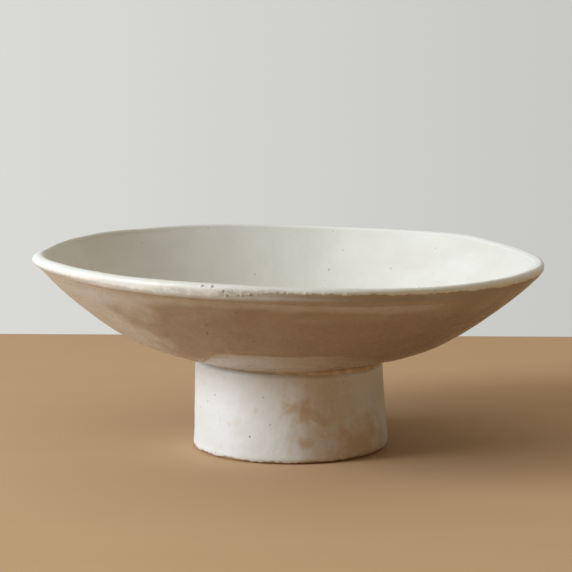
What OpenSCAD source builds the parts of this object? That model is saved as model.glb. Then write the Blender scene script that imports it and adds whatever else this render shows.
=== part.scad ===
// Footed compote bowl: a thrown stoneware bowl luted onto a hollow pedestal foot.
// Millimetres, +Z up. The origin is on the table, under the centre of the rim.
// Sections are drawn in the r,z plane, with x as the radius and y as the height.

/* [Bowl] */
// Outermost radius of the glazed rim
rim_r = 130; // [120:0.5:145]
// Slope of the flat cone under the bowl, next to the foot
cone_slope = 15.5; // [10:0.5:20]
// Radius at which the cone turns into the belly
cone_r = 66; // [60:0.5:74]
// Radius of the arc that forms the belly
belly_r = 82; // [60:1:105]
// Slope at which the belly turns into the wall
belly_slope = 34; // [30:0.5:37]
// Radius of the long arc that forms the wall
wall_r = 260; // [220:1:400]
// Clay between the floor of the bowl and its seat on the foot
floor_t = 7.5; // [5:0.5:10]
// How much the wall inside turns between the floor arc and the lip
inner_turn = 7; // [4:0.5:9]

/* [Lip] */
// Radius of the rolled bead of clay at the lip
lip_r = 3; // [2.6:0.1:4]
// Wall on the outer side of the bead's centre
lip_wall_out = 2; // [1.5:0.1:2.4]
// Wall on the inner side of the bead's centre
lip_wall_in = 2.6; // [2:0.1:2.6]

/* [Stance] */
// Lean of the bowl towards +X, set when the clay was still soft
lean = 0.85; // [0:0.05:1.5]
// How far the foot stands off the centre of the rim, towards +X
foot_x = 1.3; // [0:0.1:3]

/* [Foot] */
// Height of the clay foot at its centre
foot_h = 45.1; // [35:0.1:60]
// Radius of the clay foot at its shoulder
foot_top_r = 47.7; // [42:0.1:56]
// How much wider the foot is above the rounded edge at its base than at its shoulder
foot_flare = 1.5; // [0.2:0.1:5]
// Wall of the foot, between its outside and the hollow
foot_wall = 7.2; // [6.2:0.1:9]
// Rounding of the outer edge at the base
base_edge_r = 3; // [1:0.1:3.6]
// Rounding of the inner edge at the base
hollow_edge_r = 1.2; // [0.5:0.1:1.5]
// Rounding of the shoulder under the joint
shoulder_r = 3; // [1.5:0.1:3.4]

/* [Joint] */
// Thickness of the slip between foot and bowl
slip_t = 1.2; // [1:0.1:2]
// How far the slip is set back from the edge of the seat, which leaves a groove
groove_depth = 0.7; // [0.3:0.1:1.5]
// How far the slip was squeezed out into the hollow
slip_bead = 0.8; // [0.5:0.1:1.5]
// How far the edge of the seat under the bowl lies inside the foot's shoulder
seat_inset = 2.2; // [1.6:0.1:3]
// Leg of the coil smoothed into the corner inside the foot
coil_leg = 6; // [4:0.5:9]
// Thickness of the coil at its two edges
coil_edge = 0.8; // [0.5:0.1:1.2]

/* [Glaze] */
// Thickness of every coat of glaze
glaze_t = 0.4; // [0.3:0.05:0.6]
// Height at which the coat on the foot stops
glaze_line = 3.8; // [3.8:0.1:10]
// Angle below the horizontal at which the two coats meet on the bead
coat_split = 20; // [5:1:35]

/* [Hidden] */
$fn = 240;
clay = "#cdb293";
slip = "#b89a78";
glaze_in = "#efece2";
glaze_out = "#e2d8c6";
glaze_foot = "#ebe6da";
// Slope between the points of the long arcs, the bead and the rounded edges
arc_step = 2;
bead_step = 12;
edge_step = 15;
// Slopes around the bead: 90 is outermost and 180 is on top
top_of_bead = 180;
coats_meet = 90 - coat_split;

// Outward direction, square to a wall that rises at a slope
function square_to(slope) = [sin(slope), -cos(slope)];

// Points of an arc after its first one, a step of slope apart
function arc(c, r, from, to, step) =
    let (n = ceil(abs(to - from) / step))
    [for (i = [1:n]) c + r * square_to(from + (to - from) * i / n)];

function reversed(points) = [for (i = [len(points) - 1:-1:0]) points[i]];

// The joint and the hollow take their radii from the foot
seat_r = foot_top_r - seat_inset;
slip_r = seat_r - groove_depth;
hollow_top_r = foot_top_r - foot_wall;
slip_in_r = hollow_top_r - slip_bead;
foot_base_r = foot_top_r + foot_flare;
hollow_base_r = foot_base_r - foot_wall;

// Underside of the clay bowl: cone, belly arc and wall arc, each tangent to the next
seat_z = foot_h + slip_t;
cone_end = [cone_r, seat_z + (cone_r - seat_r) * tan(cone_slope)];
belly_c = cone_end - belly_r * square_to(cone_slope);
belly_end = belly_c + belly_r * square_to(belly_slope);
wall_c = belly_end - wall_r * square_to(belly_slope);

// The bead's centre lies inside the end of the wall arc, square to it
bead_x = rim_r - lip_r - glaze_t;
bead_reach = wall_r - lip_wall_out;
lip_slope = asin((bead_x - wall_c.x) / bead_reach);
bead_c = wall_c + bead_reach * square_to(lip_slope);

// Inside of the clay bowl: flat floor, floor arc, and a wall arc parallel to the outer one
floor_z = seat_z + floor_t;
floor_slope = lip_slope - inner_turn;
inner_wall_r = bead_reach - lip_wall_in;
inner_wall_end = wall_c + inner_wall_r * square_to(floor_slope);
floor_arc_r = (inner_wall_end.y - floor_z) / (1 - cos(floor_slope));
floor_c = [inner_wall_end.x - floor_arc_r * sin(floor_slope), floor_z + floor_arc_r];

// Place of the joint's centre in the bowl's own frame, above the foot's centre
joint_x = (foot_x + (bead_c.y - seat_z) * sin(lean)) / cos(lean);
foot_taper = atan((foot_base_r - foot_top_r) / (foot_h - base_edge_r));
hollow_taper = atan((hollow_base_r - hollow_top_r) / (foot_h - hollow_edge_r));
// The shoulder's cutter widens faster than the foot does, so it only rounds the shoulder
cutter_flare = foot_taper + 2 * lean + 1;
// The foot and its hollow are drawn on past the seat, and cut there
foot_end_z = foot_h + 3 * slip_t;

// Slope at which a wall face of radius r runs into a bead
function meeting_slope(r, bead) =
    lip_slope - acos((r * r + bead_reach * bead_reach - bead * bead) / (2 * r * bead_reach));

// Turn around the bead's centre from the wall arcs' centre to that same point
function meeting_turn(r, bead) =
    acos((bead_reach * bead_reach + bead * bead - r * r) / (2 * bead_reach * bead));

// Outer line of the bowl under a coat, from its seat to a slope around the bead
function outer_line(coat, to) =
    let (
        bead = lip_r + coat,
        face = wall_r + coat,
        from = lip_slope - 180 + meeting_turn(face, bead)
    )
    concat(
        [[seat_r + coat / sin(cone_slope), seat_z]],
        [belly_c + (belly_r + coat) * square_to(cone_slope)],
        arc(belly_c, belly_r + coat, cone_slope, belly_slope, arc_step),
        arc(wall_c, face, belly_slope, meeting_slope(face, bead), arc_step),
        arc(bead_c, bead, from, to, bead_step)
    );

// Inner line of the bowl over a coat, from a slope around the bead to the middle of the floor
function inner_line(coat, from) =
    let (
        bead = lip_r + coat,
        face = inner_wall_r - coat,
        to = lip_slope + 180 + meeting_turn(face, bead)
    )
    concat(
        arc(bead_c, bead, from, to, bead_step),
        arc(wall_c, face, meeting_slope(face, bead), floor_slope, arc_step),
        arc(floor_c, floor_arc_r - coat, floor_slope, 0, arc_step),
        [[0, floor_z + coat]]
    );

// Leans the bowl about the centre of its rim
module lean_over() {
    translate([0, 0, bead_c.y]) rotate([0, lean, 0]) translate([0, 0, -bead_c.y]) children();
}

// Puts a piece of the joint on the bowl's seat, above the foot
module at_joint() {
    lean_over() translate([joint_x, 0, seat_z]) children();
}

// Upright outline of the foot, carried on past its top, with its base edge rounded
module foot_upright(coat) {
    edge = [foot_base_r - base_edge_r, base_edge_r];
    end_r = foot_base_r - (foot_end_z - base_edge_r) * tan(foot_taper);
    translate([foot_x, 0, 0]) rotate_extrude() polygon(concat(
        [[0, -coat], [edge.x, -coat]],
        arc(edge, base_edge_r + coat, 0, 90, edge_step),
        [[end_r + coat, foot_end_z], [0, foot_end_z]]
    ));
}

// Leaning cutter that rounds the shoulder and cuts the top level with the bowl's seat
module shoulder_cutter(coat) {
    edge = [foot_top_r - shoulder_r, -slip_t - shoulder_r];
    depth = foot_h + 2 * slip_t;
    at_joint() rotate_extrude() polygon(concat(
        [[0, edge.y - depth], [0, -slip_t + coat], [edge.x, -slip_t + coat]],
        arc(edge, shoulder_r + coat, 180, 90, edge_step),
        [[foot_top_r + coat + depth * tan(cutter_flare), edge.y - depth]]
    ));
}

// Foot with its hollow still filled
module foot_filled(coat) {
    intersection() {
        foot_upright(coat);
        shoulder_cutter(coat);
    }
}

// Hollow of the foot, open at the base, where its edge is rounded
module foot_hollow() {
    edge = [hollow_base_r + hollow_edge_r, hollow_edge_r];
    end_r = hollow_base_r - (foot_end_z - hollow_edge_r) * tan(hollow_taper);
    translate([foot_x, 0, 0]) rotate_extrude() polygon(concat(
        [[0, 0], [edge.x, 0]],
        arc(edge, hollow_edge_r, 0, -90, edge_step),
        [[end_r, foot_end_z], [0, foot_end_z]]
    ));
}

// Thrown clay shell of the bowl
module bowl() {
    color(clay) lean_over() rotate_extrude()
        polygon(concat([[0, seat_z]], outer_line(0, top_of_bead), inner_line(0, top_of_bead)));
}

// Thrown clay ring that carries the bowl
module pedestal_foot() {
    color(clay) difference() {
        foot_filled(0);
        foot_hollow();
    }
}

// Ring of slip that fills the joint
module joint_slip() {
    color(slip) at_joint() rotate_extrude()
        translate([slip_in_r, -slip_t]) square([slip_r - slip_in_r, slip_t]);
}

// Coil smoothed into a cove between the wall of the hollow and the bowl
module luting_coil() {
    inner_r = hollow_top_r - coil_leg;
    cove_r = coil_leg - coil_edge;
    color(clay) intersection() {
        at_joint() rotate_extrude() polygon(concat(
            [[inner_r, 0], [slip_in_r, 0], [slip_in_r, -slip_t], [slip_r, -slip_t]],
            [[slip_r, -coil_leg], [inner_r + cove_r, -coil_leg]],
            arc([inner_r, -coil_leg], cove_r, 90, 180, edge_step)
        ));
        foot_hollow();
    }
}

// Coat inside the bowl and over the lip
module liner_glaze() {
    color(glaze_in) lean_over() rotate_extrude() polygon(concat(
        [bead_c + (lip_r + glaze_t) * square_to(coats_meet)],
        inner_line(glaze_t, coats_meet),
        reversed(inner_line(0, coats_meet)),
        [bead_c + lip_r * square_to(coats_meet)]
    ));
}

// Coat under the bowl, down to the groove
module outer_glaze() {
    color(glaze_out) lean_over() rotate_extrude() polygon(concat(
        outer_line(glaze_t, coats_meet),
        reversed(outer_line(0, coats_meet))
    ));
}

// Coat on the foot, from the bare base ring up into the groove
module foot_glaze() {
    color(glaze_foot) difference() {
        foot_filled(glaze_t);
        foot_filled(0);
        translate([foot_x, 0, 0]) cylinder(r = 2 * foot_base_r, h = 2 * glaze_line, center = true);
        at_joint() cylinder(r = slip_r, h = foot_h, center = true);
    }
}

bowl();
pedestal_foot();
joint_slip();
luting_coil();
liner_glaze();
outer_glaze();
foot_glaze();
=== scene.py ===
import itertools
import math

import bpy
import numpy as np
from mathutils import Matrix


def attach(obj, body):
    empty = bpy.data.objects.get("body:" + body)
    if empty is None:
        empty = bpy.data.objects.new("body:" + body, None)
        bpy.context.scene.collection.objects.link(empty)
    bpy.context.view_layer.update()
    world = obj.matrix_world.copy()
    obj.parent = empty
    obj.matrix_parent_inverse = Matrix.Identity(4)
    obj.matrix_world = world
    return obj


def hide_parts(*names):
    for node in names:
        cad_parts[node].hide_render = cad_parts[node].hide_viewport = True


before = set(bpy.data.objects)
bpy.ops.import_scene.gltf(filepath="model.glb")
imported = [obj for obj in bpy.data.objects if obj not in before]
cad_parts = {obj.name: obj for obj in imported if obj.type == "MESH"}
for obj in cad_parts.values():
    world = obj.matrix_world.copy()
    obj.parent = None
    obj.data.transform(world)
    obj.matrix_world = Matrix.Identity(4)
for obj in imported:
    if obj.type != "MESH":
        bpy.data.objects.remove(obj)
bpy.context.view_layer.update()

# Sizes of the part in millimetres and degrees, the same as in its source
RIM_R = 130.0
CONE_SLOPE = 15.5
CONE_R = 66.0
BELLY_R = 82.0
BELLY_SLOPE = 34.0
WALL_R = 260.0
FLOOR_T = 7.5
INNER_TURN = 7.0
LIP_R = 3.0
LIP_WALL_OUT = 2.0
LIP_WALL_IN = 2.6
LEAN = 0.85
FOOT_X = 1.3
FOOT_H = 45.1
FOOT_TOP_R = 47.7
FOOT_FLARE = 1.5
FOOT_WALL = 7.2
BASE_EDGE_R = 3.0
HOLLOW_EDGE_R = 1.2
SHOULDER_R = 3.0
SLIP_T = 1.2
GROOVE_DEPTH = 0.7
SEAT_INSET = 2.2
SLIP_BEAD = 0.8
COIL_LEG = 6.0
COIL_EDGE = 0.8
GLAZE_T = 0.4

# Numbers of points round the axis: the bowl's coats, its clay, the foot and the coil
ROUND = 1440
ROUND_PLAIN = 240
ROUND_FOOT = 960
ROUND_COIL = 480

# Distances in millimetres between points along a section: the bowl's coats, plain and hidden
# sides, the bead, edges, and the pieces of the foot
FINE = 0.7
PLAIN = 3.0
BEAD_STEP = 0.5
EDGE_STEP = 0.4
FOOT_COAT_STEP = 0.5
FOOT_CLAY_STEP = 1.0
HOLLOW_STEP = 1.5
SLIP_STEP = 0.2
COIL_STEP = 1.0
COIL_LOW_STEP = 0.6

# How many times further apart the points lie in the middle of the bowl's floor
MIDDLE_STEPS = 1.5

# Camera: place in millimetres, turns in degrees, and the focal length in pixels of the frame
FRAME_PX = 572.0
CAMERA_AT = (6.0, -1188.0, 252.8)
CAMERA_DOWN = 8.162
CAMERA_TURN = -0.323
CAMERA_ROLL = 0.067
FOCAL_PX = 2350.6
SENSOR_MM = 36.0
MM = 0.001


# Sections, as points of r and z

def square_to(slope):
    """Outward direction, square to a wall that rises at a slope in degrees."""
    a = np.radians(slope)
    return np.array([np.sin(a), -np.cos(a)])


def arc(centre, r, start, stop, step):
    """Points of a section's arc, both ends included, about a step apart."""
    n = max(2, math.ceil(abs(math.radians(stop - start)) * r / step))
    return [centre + r * square_to(a) for a in np.linspace(start, stop, n + 1)]


def line(a, b, step):
    """Points from a towards b about a step apart, without b."""
    a, b = np.array(a, float), np.array(b, float)
    n = max(1, math.ceil(np.linalg.norm(b - a) / step))
    return [a + (b - a) * i / n for i in range(n)]


def cosine_law(a, b, c):
    """Angle in degrees between sides a and b of a triangle whose third side is c."""
    return math.degrees(math.acos((a * a + b * b - c * c) / (2 * a * b)))


# Section of the bowl, worked out as in the part's source: r and z in the bowl's own frame
SEAT_R = FOOT_TOP_R - SEAT_INSET
SLIP_R = SEAT_R - GROOVE_DEPTH
HOLLOW_TOP_R = FOOT_TOP_R - FOOT_WALL
FOOT_BASE_R = FOOT_TOP_R + FOOT_FLARE
SEAT_Z = FOOT_H + SLIP_T
CONE_END = np.array([CONE_R, SEAT_Z + (CONE_R - SEAT_R) * math.tan(math.radians(CONE_SLOPE))])
BELLY_C = CONE_END - BELLY_R * square_to(CONE_SLOPE)
WALL_C = BELLY_C - (WALL_R - BELLY_R) * square_to(BELLY_SLOPE)
BEAD_X = RIM_R - LIP_R - GLAZE_T
BEAD_REACH = WALL_R - LIP_WALL_OUT
LIP_SLOPE = math.degrees(math.asin((BEAD_X - WALL_C[0]) / BEAD_REACH))
BEAD_C = WALL_C + BEAD_REACH * square_to(LIP_SLOPE)
FLOOR_Z = SEAT_Z + FLOOR_T
FLOOR_SLOPE = LIP_SLOPE - INNER_TURN
INNER_WALL_R = BEAD_REACH - LIP_WALL_IN
INNER_END = WALL_C + INNER_WALL_R * square_to(FLOOR_SLOPE)
FLOOR_ARC_R = (INNER_END[1] - FLOOR_Z) / (1 - math.cos(math.radians(FLOOR_SLOPE)))
FLOOR_C = np.array([INNER_END[0] - FLOOR_ARC_R * math.sin(math.radians(FLOOR_SLOPE)),
                    FLOOR_Z + FLOOR_ARC_R])

# The foot's top lies lower by this much on its axis, as the bowl leans about its rim's middle
FOOT_SINK = SEAT_Z - (BEAD_C[1] - (BEAD_C[1] - SEAT_Z) / math.cos(math.radians(LEAN)))


def outer_line(coat, to, step):
    """Underside of the bowl under a coat, from its seat to an angle round the bead."""
    bead, face = LIP_R + coat, WALL_R + coat
    leave = LIP_SLOPE - cosine_law(face, BEAD_REACH, bead)
    start = LIP_SLOPE - 180 + cosine_law(BEAD_REACH, bead, face)
    foot = [SEAT_R + coat / math.sin(math.radians(CONE_SLOPE)), SEAT_Z]
    return (line(foot, BELLY_C + (BELLY_R + coat) * square_to(CONE_SLOPE), step)
            + arc(BELLY_C, BELLY_R + coat, CONE_SLOPE, BELLY_SLOPE, step)[:-1]
            + arc(WALL_C, face, BELLY_SLOPE, leave, step)[:-1]
            + arc(BEAD_C, bead, start, to, min(step, BEAD_STEP)))


def inner_line(coat, start, step):
    """Inside of the bowl over a coat, from an angle round the bead to the middle of the floor."""
    bead, face = LIP_R + coat, INNER_WALL_R - coat
    enter = LIP_SLOPE - cosine_law(face, BEAD_REACH, bead)
    to = LIP_SLOPE + 180 + cosine_law(BEAD_REACH, bead, face)
    middle = line([FLOOR_C[0], FLOOR_Z + coat], [0, FLOOR_Z + coat], step * MIDDLE_STEPS)
    return (arc(BEAD_C, bead, start, to, min(step, BEAD_STEP))[:-1]
            + arc(WALL_C, face, enter, FLOOR_SLOPE, step)[:-1]
            + arc(FLOOR_C, FLOOR_ARC_R - coat, FLOOR_SLOPE, 0, step)
            + middle[1:])


def foot_side(coat, step):
    """Outside of the foot under a coat, from the base up to the groove."""
    edge = np.array([FOOT_BASE_R - BASE_EDGE_R, BASE_EDGE_R])
    top = np.array([FOOT_TOP_R - SHOULDER_R, FOOT_H - SHOULDER_R])
    face = [FOOT_BASE_R + coat, BASE_EDGE_R]
    return (arc(edge, BASE_EDGE_R + coat, 0, 90, EDGE_STEP)[:-1]
            + line(face, top + (SHOULDER_R + coat) * square_to(90), step)
            + arc(top, SHOULDER_R + coat, 90, 180, min(step, EDGE_STEP))
            + [np.array([SLIP_R, FOOT_H + coat])])


def hollow_side(step):
    """Wall of the foot's hollow, from its top down to the base."""
    edge = np.array([FOOT_BASE_R - FOOT_WALL + HOLLOW_EDGE_R, HOLLOW_EDGE_R])
    return (line([HOLLOW_TOP_R, FOOT_H], edge + HOLLOW_EDGE_R * square_to(-90), step)
            + arc(edge, HOLLOW_EDGE_R, -90, 0, EDGE_STEP))


# Helpers for values at arrays of points

# Brings the noise to about -1 to 1
NOISE_GAIN = 1.7


def noise(p, size, seed):
    """Smooth noise, about -1 to 1, with lumps of a size, at an array of points."""
    rng = np.random.default_rng(seed)
    table = rng.permutation(256)
    slopes = rng.normal(size=(256, 3))
    slopes /= np.linalg.norm(slopes, axis=1)[:, None]
    q = p / size + rng.uniform(0, 99, 3)
    cell = np.floor(q).astype(int)
    f = q - cell
    u = f ** 3 * (f * (f * 6 - 15) + 10)
    total = 0
    for corner in itertools.product((0, 1), repeat=3):
        c = np.array(corner)
        k = (cell + c) % 256
        h = table[(table[(table[k[..., 0]] + k[..., 1]) % 256] + k[..., 2]) % 256]
        weight = np.where(c == 1, u, 1 - u).prod(-1)
        total = total + weight * ((f - c) * slopes[h]).sum(-1)
    return total * NOISE_GAIN


def lumps(p, layers):
    """Sum of layers of noise. A layer is a height, a size of lumps in millimetres and a seed."""
    return sum(high * noise(p, size, seed) for high, size, seed in layers)


def smooth(x, low, high):
    """0 below low, 1 above high, and a smooth step between."""
    t = np.clip((x - low) / (high - low), 0, 1)
    return t * t * (3 - 2 * t)


def between(a, b, share):
    """Value a, or b where share is 1."""
    return a + (b - a) * share


def polar(p):
    """Distance from the axis, and the angle round it in degrees, which is the direction."""
    return np.hypot(p[..., 0], p[..., 1]), np.degrees(np.arctan2(p[..., 1], p[..., 0]))


def turned_from(phi, at):
    """Angle in degrees between phi and a direction, either way round."""
    return np.abs((phi - at + 180) % 360 - 180)


def near(phi, at, full, gone, uneven=0):
    """1 within some degrees of a direction, 0 beyond some more, and a smooth step between."""
    return 1 - smooth(turned_from(phi, at) + uneven, full, gone)


def bead_turn(r, z):
    """Angle round the bead from -60 to 300, 90 outermost and 180 on top, and where the bead is."""
    across, down = r - BEAD_C[0], BEAD_C[1] - z
    turn = (np.degrees(np.arctan2(across, down)) + 60) % 360 - 60
    return turn, np.hypot(across, down) < LIP_R + 2 * GLAZE_T


# Shape of the rim in millimetres, as the photograph shows it: waves in its height by how often
# they go round, and rises and dips at the rear by direction. They grow from a radius outwards
HEIGHT_WAVES = {2: (-0.55, 0.65), 3: (0.18, 0.0), 4: (-0.34, 0.03), 5: (-0.08, -0.43)}
HEIGHT_BUMPS = ((150, 0.8), (104, 0.5), (62, -0.8), (20, -0.4))
BUMP_SIDES = (5, 25)
WAVES_FROM_R = 55

# Plan of the rim: how far it is skewed, and how far the wall stands out and the lip in on the left
PLAN_SKEW = -0.0136
LEFT_OUT = 0.4
LEFT_X = (40, 110)
LEFT_LIP_R = (116, 126)


def settle(p):
    """Takes points of the bowl from its upright frame to the part's, with the rim's waves."""
    r, phi = polar(p)
    rise = sum(a * np.cos(k * np.radians(phi)) + b * np.sin(k * np.radians(phi))
               for k, (a, b) in HEIGHT_WAVES.items())
    rise = rise + sum(high * near(phi, at, *BUMP_SIDES) for at, high in HEIGHT_BUMPS)
    share = smooth(r, WAVES_FROM_R, BEAD_X)
    grow = 1 + share * PLAN_SKEW * np.sin(2 * np.radians(phi))
    x, y, z = p[..., 0] * grow, p[..., 1] * grow, p[..., 2] + share * rise - BEAD_C[1]
    x = x - LEFT_OUT * smooth(-p[..., 0], *LEFT_X) * (1 - 2 * smooth(r, *LEFT_LIP_R))
    c, s = math.cos(math.radians(LEAN)), math.sin(math.radians(LEAN))
    return np.stack([x * c + z * s, y, BEAD_C[1] - x * s + z * c], -1)


def foot_drop(x):
    """How much lower the foot's top lies under the leaning bowl, by the distance to its axis."""
    return x * math.sin(math.radians(LEAN)) + FOOT_SINK


def on_foot(p):
    """Puts points of the upright foot in place, its top level with the bowl's leaning seat."""
    x, y, z = p[..., 0], p[..., 1], p[..., 2]
    return np.stack([x + FOOT_X, y, z - z / FOOT_H * foot_drop(x)], -1)


def at_joint(p):
    """Puts points in place that are given round the foot's axis and from the bowl's seat."""
    x, y, z = p[..., 0], p[..., 1], p[..., 2]
    return np.stack([x + FOOT_X, y, z + SEAT_Z - foot_drop(x)], -1)


# Meshes

def spin(section, count):
    """Rows of points round the axis, and their normals, from a section.

    The normals point outwards from a section that runs up outside, over the lip and down inside.
    """
    s = np.array(section, float)
    t = np.gradient(s, axis=0)
    n = np.stack([t[:, 1], -t[:, 0]], -1)
    n /= np.linalg.norm(n, axis=1)[:, None]
    phi = np.arange(count) * 2 * math.pi / count
    c, d = np.cos(phi), np.sin(phi)
    p = np.stack([s[:, :1] * c, s[:, :1] * d, np.repeat(s[:, 1:], count, 1)], -1)
    m = np.stack([n[:, :1] * c, n[:, :1] * d, np.repeat(n[:, 1:], count, 1)], -1)
    return p, m


def surface(section, relief, count, place, masks=None):
    """Rows of points round the axis, moved along their normals by a relief and put in place.

    The values of masks at the points, before they are moved, come second.
    """
    p, n = spin(section, count)
    values = {key: mask(p) for key, mask in (masks or {}).items()}
    return place(p + n * relief(p)[..., None]), values


def build(name, rows, node, slot, poles=False, marks=None):
    """Makes a mesh of rows of points round the axis, which replaces a node.

    It is closed from the last row to the first, or ends in a pole at both ends. Marks are values
    at the points of the first rows.
    """
    m, count = rows.shape[:2]
    verts = rows.reshape(-1, 3) * MM
    i, j = np.meshgrid(np.arange(m - 1 if poles else m), np.arange(count), indexing="ij")
    k, l = (i + 1) % m, (j + 1) % count
    quads = np.stack([i * count + j, i * count + l, k * count + l, k * count + j], -1)
    quads = quads.reshape(-1, 4)
    tris = np.zeros((0, 3), int)
    for row, flip in ((0, True), (m - 1, False)) if poles else ():
        a = row * count + np.arange(count)
        b = row * count + (np.arange(count) + 1) % count
        tip = np.full(count, len(verts))
        tris = np.vstack([tris, np.stack([b, a, tip] if flip else [a, b, tip], -1)])
        verts = np.vstack([verts, verts[a].mean(0)])
    mesh = bpy.data.meshes.new(name)
    mesh.vertices.add(len(verts))
    mesh.vertices.foreach_set("co", verts.astype(np.float32).ravel())
    loops = np.concatenate([quads.ravel(), tris.ravel()])
    mesh.loops.add(len(loops))
    mesh.loops.foreach_set("vertex_index", loops.astype(np.int32))
    mesh.polygons.add(len(quads) + len(tris))
    starts = np.concatenate([np.arange(len(quads)) * 4, quads.size + np.arange(len(tris)) * 3])
    mesh.polygons.foreach_set("loop_start", starts.astype(np.int32))
    mesh.update(calc_edges=True)
    mesh.validate()
    mesh.shade_smooth()
    for key, values in (marks or {}).items():
        attribute = mesh.attributes.new(key, "FLOAT", "POINT")
        full = np.zeros(len(verts), np.float32)
        full[:values.size] = values.ravel()
        attribute.data.foreach_set("value", full)
    mesh.materials.append(PAINTS[slot])
    piece = bpy.data.objects.new(name, mesh)
    bpy.context.scene.collection.objects.link(piece)
    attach(piece, "root")
    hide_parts(node)


# Unevenness of the surfaces: layers of noise, each a height, a size of lumps and a seed
BODY_LUMPS = ((0.22, 38, 11), (0.10, 14, 12))
RING_LUMPS = ((1.4, 30, 21),)
LINER_LUMPS = ((0.05, 4.5, 22), (0.02, 1.8, 23))
LINER_END_LUMPS = ((9, 7, 24), (7, 2.4, 25))
THIN_LUMPS = ((6, 3, 26),)
INSIDE_SHADE_SIDE_LUMPS = ((8, 30, 27),)
INSIDE_SHADE_R_LUMPS = ((6, 24, 28),)
OUTER_BROAD_LUMPS = ((0.10, 13, 31),)
OUTER_LUMPS = ((0.09, 7, 32), (0.04, 2.2, 33))
PALE_LUMPS = ((0.25, 22, 34), (0.1, 8, 35))
BAND_LUMPS = ((1.5, 20, 36),)
PAINTED_SHADE_LUMPS = ((4, 16, 37),)
FOOT_END_LUMPS = ((0.8, 8, 41), (0.7, 2.5, 42))
FOOT_LUMPS = ((0.10, 6, 43), (0.04, 2.2, 44))
BLOTCH_LUMPS = ((0.40, 6, 45), (0.25, 2.2, 46))
SLIP_LUMPS = ((0.12, 2.5, 51), (0.07, 1.2, 52))
COIL_LUMPS = ((0.25, 9, 53), (0.12, 3, 54))

# Lip profiles: how far the lip stands out from a round bead at angles round the bead
LIP_TURNS = (-20, 0, 15, 35, 55, 75, 95, 115, 135, 155, 180, 215, 250)
REAR_LIP = (0, -0.2, -0.5, -0.8, -0.8, -0.8, -0.9, -1.2, -1.5, -1.5, -0.7, 0.2, 0.0)
LEFT_LIP = (0, -0.2, -0.7, -1.0, -0.8, -0.4, -0.1, 0.0, -0.1, -0.1, 0.0, 0.2, 0.0)
FRONT_LIP = (0, 0, 0.1, 0.4, 0.2, -0.1, -0.1, 0.3, 0.6, 0.5, 0.3, 0.2, 0.0)
RIGHT_LIP = (0, -0.3, -0.8, -1.2, -1.3, -1.2, -0.8, 0.0, 0.9, 1.0, 0.1, -0.2, 0.0)

# They count within a distance of the bead's middle, and are worked out for each degree, blurred
# over the degrees of a window
LIP_NEAR = 9.0
LIP_DEGREES = np.arange(-180, 361)
LIP_BLUR = 8.0
LIP_WINDOW = np.arange(-20, 21)


def lip_table(values):
    """Values for each of LIP_DEGREES, with rounded steps between those given."""
    fine = np.interp(LIP_DEGREES, LIP_TURNS, values)
    window = np.exp(-(LIP_WINDOW / LIP_BLUR) ** 2)
    return np.convolve(fine, window / window.sum(), "same")


# Where the profiles lie: direction, and how far to each side they are full and then gone
LIP_SIDES = ((lip_table(REAR_LIP), 135, 32, 52), (lip_table(LEFT_LIP), -172, 22, 52),
             (lip_table(FRONT_LIP), -115, 12, 35), (lip_table(RIGHT_LIP), -15, 50, 90))

# Directions round the rim, and the angles round the bead at which the coat inside ends there
LINER_SIDES = (-180, -150, -132, -116, -104, -92, -60, -30, 0, 60, 130, 180)
LINER_ENDS = (72, 72, 70, 46, 44, 104, 108, 90, 80, 96, 90, 72)


def body_relief(p):
    """Unevenness that clay and coat share."""
    return lumps(p, BODY_LUMPS)


def bead_shape(p):
    """How far the lip stands out from a round bead, by the profiles that lie in a direction."""
    r, phi = polar(p)
    turn = bead_turn(r, p[..., 2])[0]
    out = sum(near(phi, at, full, gone) * np.interp(turn, LIP_DEGREES, table)
              for table, at, full, gone in LIP_SIDES)
    return np.where(np.hypot(r - BEAD_C[0], p[..., 2] - BEAD_C[1]) < LIP_NEAR, out, 0)


def clay_relief(p):
    """Relief of the bowl's clay, which follows the lip's shape under the coats."""
    return body_relief(p) + bead_shape(p)


def liner_end(p, phi):
    """Angle round the bead at which the coat inside ends, ragged and lowest at the front left."""
    return np.interp(phi, LINER_SIDES, LINER_ENDS) + lumps(p, LINER_END_LUMPS)


# Craters, in shares of their radius: from where the hole rises to its edge, and the ridge round it
HOLE_EDGE = (0.35, 0.9)
RIDGE_WIDTH = 0.25
RIDGE_SHARE = 0.25


def craters(p, spots):
    """Relief of burst bubbles, and the darkness of their holes: bare clay with painted shade.

    A spot is a place, a radius and a depth, which is negative for a crumb.
    """
    relief = np.zeros(p.shape[:-1])
    dark = np.zeros(p.shape[:-1])
    for at, radius, depth in spots:
        close = np.abs(p - at).max(-1) < radius * 2
        d = np.linalg.norm(p[close] - at, axis=-1) / radius
        hole = 1 - smooth(d, *HOLE_EDGE)
        ridge = np.exp(-((d - 1) / RIDGE_WIDTH) ** 2) if depth > 0 else 0
        relief[close] += depth * (RIDGE_SHARE * ridge - hole)
        if depth > 0:
            dark[close] = np.maximum(dark[close], hole)
    return relief, dark


def point(r, phi, z):
    """Point at a distance from the axis, a direction in degrees and a height."""
    a = math.radians(phi)
    return np.array([r * math.cos(a), r * math.sin(a), z])


def on_section(section, r, phi):
    """Point of a surface of revolution at a distance from its axis and a direction."""
    s = np.array(section)
    order = np.argsort(s[:, 0])
    return point(r, phi, np.interp(r, s[order, 0], s[order, 1]))


def on_bead(phi, turn):
    """Point of the glazed bead at a direction and an angle round the bead."""
    r, z = BEAD_C + (LIP_R + GLAZE_T) * square_to(turn)
    return point(r, phi, z)


def on_foot_side(phi, z):
    """Point of the foot's glazed side at a direction and a height."""
    return point(FOOT_BASE_R + GLAZE_T - FOOT_FLARE * (z - BASE_EDGE_R) / FOOT_H, phi, z)


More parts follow.
